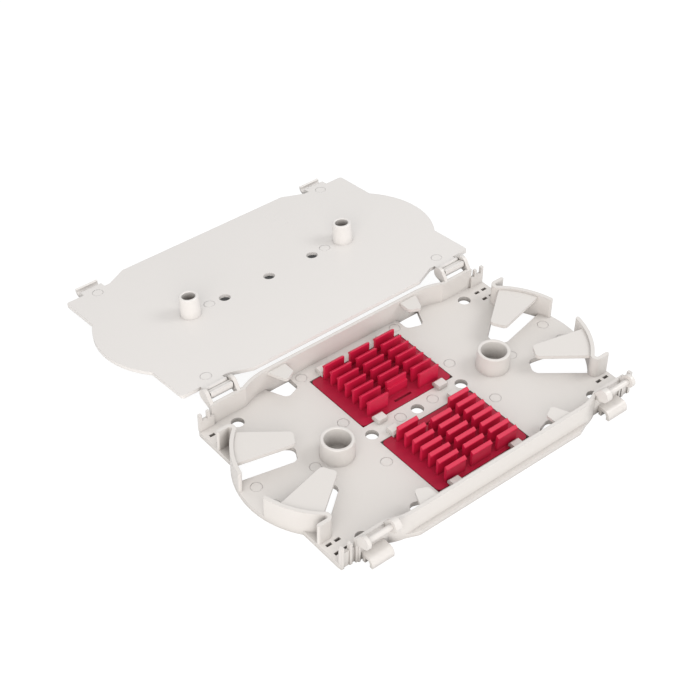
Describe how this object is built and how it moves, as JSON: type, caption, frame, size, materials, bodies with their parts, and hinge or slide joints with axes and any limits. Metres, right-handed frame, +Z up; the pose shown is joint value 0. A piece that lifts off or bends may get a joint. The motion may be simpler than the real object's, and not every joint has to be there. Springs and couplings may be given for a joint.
{
  "type": "fibre splice tray",
  "caption": "Moulded fibre splice tray with wrap spools, keeper tabs, two red clip-in splice holders and a hinged cover lying open.",
  "frame": {"origin": "centre of the tray's middle hole, on its underside", "axes": "+Z up out of the tray, X along the tray's length, +Y towards the hinge and the open cover"},
  "size_m": [0.1622, 0.1955, 0.0181],
  "materials": {
    "tray_plastic": "satin moulded off-white",
    "cover_plastic": "satin moulded off-white",
    "holder_plastic": "satin crimson"
  },
  "bodies": {
    "tray_body": {"tray": "tray_plastic", "splice_holder_back": "holder_plastic", "splice_holder_front": "holder_plastic"},
    "cover_body": {"cover": "cover_plastic"}
  },
  "joints": [
    {"name": "cover_hinge", "type": "hinge", "parent": "tray_body", "child": "cover_body", "pos_m": [0, 0.04775, 0.0132], "axis": [1, 0, 0], "range_deg": [0, 186.46]}
  ]
}
